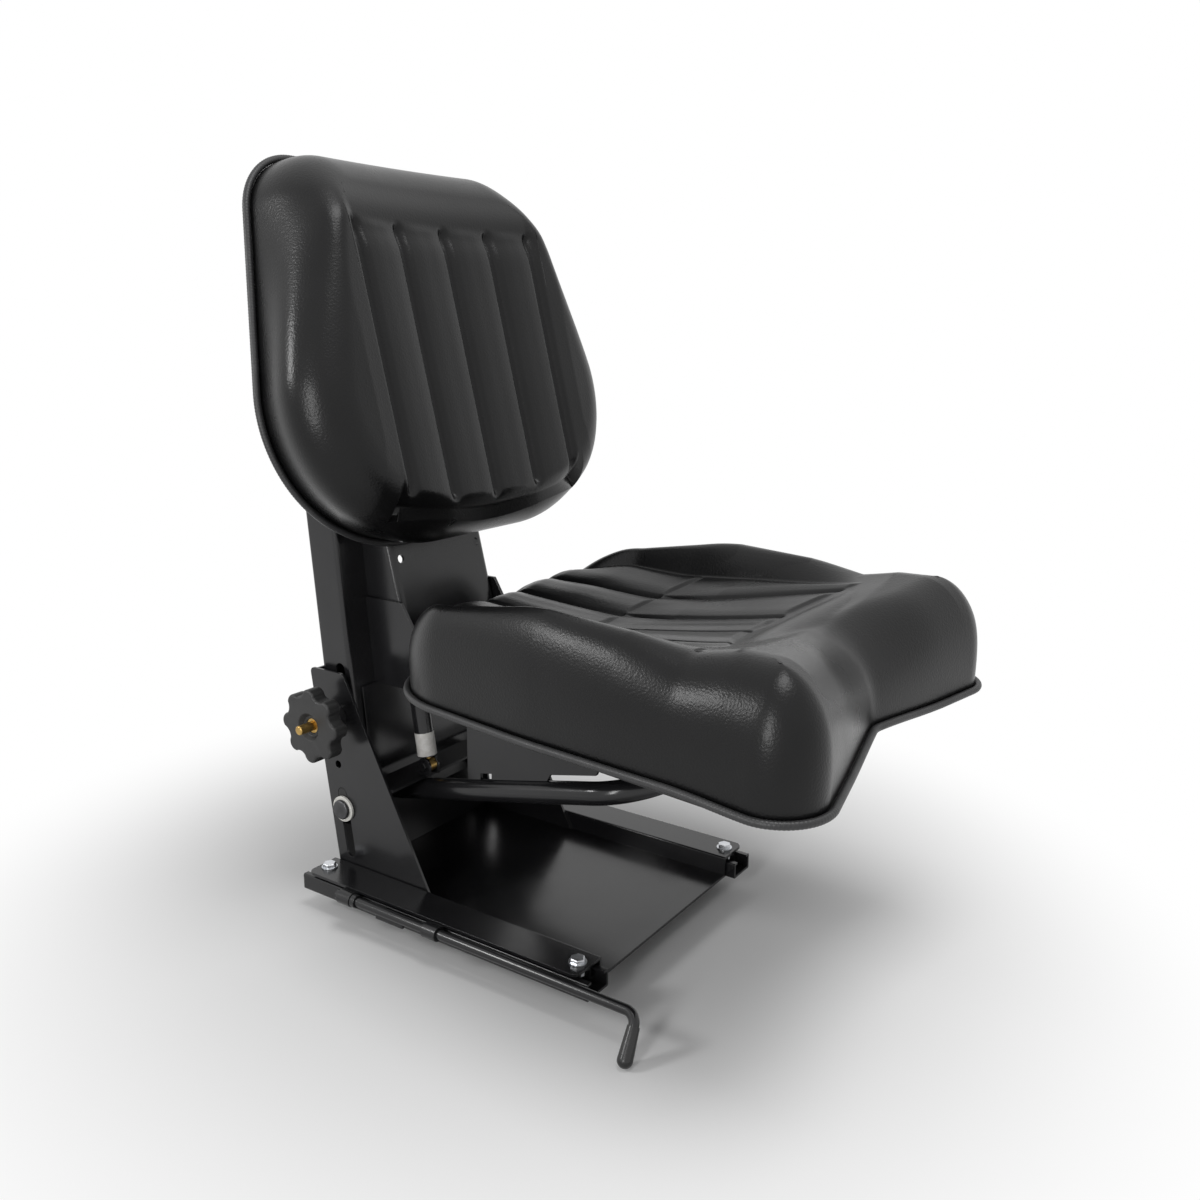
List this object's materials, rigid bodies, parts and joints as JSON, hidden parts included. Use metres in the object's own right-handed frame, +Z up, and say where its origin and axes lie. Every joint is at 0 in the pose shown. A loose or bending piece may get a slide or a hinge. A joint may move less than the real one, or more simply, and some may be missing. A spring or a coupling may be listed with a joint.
{
  "type": "tractor suspension seat",
  "caption": "Sprung tractor seat: contoured vinyl cushion and backrest on a lean-back post frame, with spring adjuster knob, damper and fore-aft slide rails.",
  "frame": {"origin": "centre of the four rail mounting holes, on the underside of the lower slide rails", "axes": "+X the way the driver faces, +Y to the driver's left, +Z up"},
  "size_m": [0.6451, 0.4546, 0.7895],
  "materials": {
    "frame_paint": "gloss black stoved paint",
    "spring_paint": "black enamelled spring wire",
    "zinc": "bright zinc plate",
    "shaft_steel": "dark oiled steel",
    "brass": "yellow zinc or brass",
    "vinyl": "black leather-grained vinyl over moulded foam",
    "piping": "black vinyl piping",
    "shell_plastic": "black moulded shell",
    "knob_plastic": "black moulded plastic",
    "grip_plastic": "black dipped plastic",
    "nylon": "natural nylon",
    "band": "blank white band",
    "rubber": "black rubber"
  },
  "bodies": {
    "base": {"lower_rail_left": "frame_paint", "lower_rail_right": "frame_paint"},
    "carriage": {"upper_rail_left": "shaft_steel", "upper_rail_right": "shaft_steel", "slide_shoes_left": "nylon", "slide_shoes_right": "nylon", "base_pan": "frame_paint", "pan_bolts": "zinc", "pan_nuts": "zinc", "tower_plate_left": "frame_paint", "tower_plate_right": "frame_paint", "tower_back": "frame_paint", "damper_shelf": "frame_paint", "damper_foot_eye": "brass", "damper_foot_pin": "zinc", "damper_body": "frame_paint", "damper_band": "band", "spring_shaft": "shaft_steel", "spring_shaft_nut": "zinc", "shaft_spacers": "nylon", "adjuster_stud": "brass", "rebound_stops": "rubber", "lever_clips": "frame_paint", "spring_left": "spring_paint", "spring_right": "spring_paint"},
    "knob": {"star_knob": "knob_plastic", "knob_insert": "brass"},
    "lever": {"lever_rod": "frame_paint", "lever_grip": "grip_plastic", "latch_comb": "frame_paint", "lever_collar": "zinc"},
    "seat_frame": {"post_left": "frame_paint", "post_right": "frame_paint", "cross_panel": "frame_paint", "back_bracket": "frame_paint", "hoop_tube": "frame_paint", "cradle_plate_left": "frame_paint", "cradle_plate_right": "frame_paint", "seat_arm_left": "frame_paint", "seat_arm_right": "frame_paint", "seat_pan": "frame_paint", "seat_cushion": "vinyl", "seat_piping": "piping", "seat_bolts": "zinc", "back_shell": "shell_plastic", "back_cushion": "vinyl", "back_piping": "piping", "back_bolts": "zinc", "guide_shaft": "shaft_steel", "guide_washers": "nylon", "guide_caps": "shaft_steel", "guide_spacers": "nylon", "damper_rod": "shaft_steel", "damper_head_pin": "zinc"}
  },
  "joints": [
    {"name": "fore_aft_slide", "type": "slide", "parent": "base", "child": "carriage", "axis": [1, 0, 0], "range_m": [-0.058, 0.058]},
    {"name": "suspension", "type": "slide", "parent": "carriage", "child": "seat_frame", "axis": [-0.1426, 0, 0.9898], "range_m": [-0.048, 0], "stiffness_N_per_m": 6000, "springref_m": 0.04, "deforming": ["spring_left", "spring_right"]},
    {"name": "spring_adjust", "type": "hinge", "parent": "carriage", "child": "knob", "pos_m": [-0.1635, -0.14, 0.195], "axis": [0, -1, 0], "continuous": true},
    {"name": "lever_lift", "type": "hinge", "parent": "carriage", "child": "lever", "pos_m": [0, -0.172, 0.017], "axis": [-1, 0, 0], "range_deg": [0, 25], "stiffness_Nm_per_rad": 0.4, "springref_deg": -20.05}
  ]
}
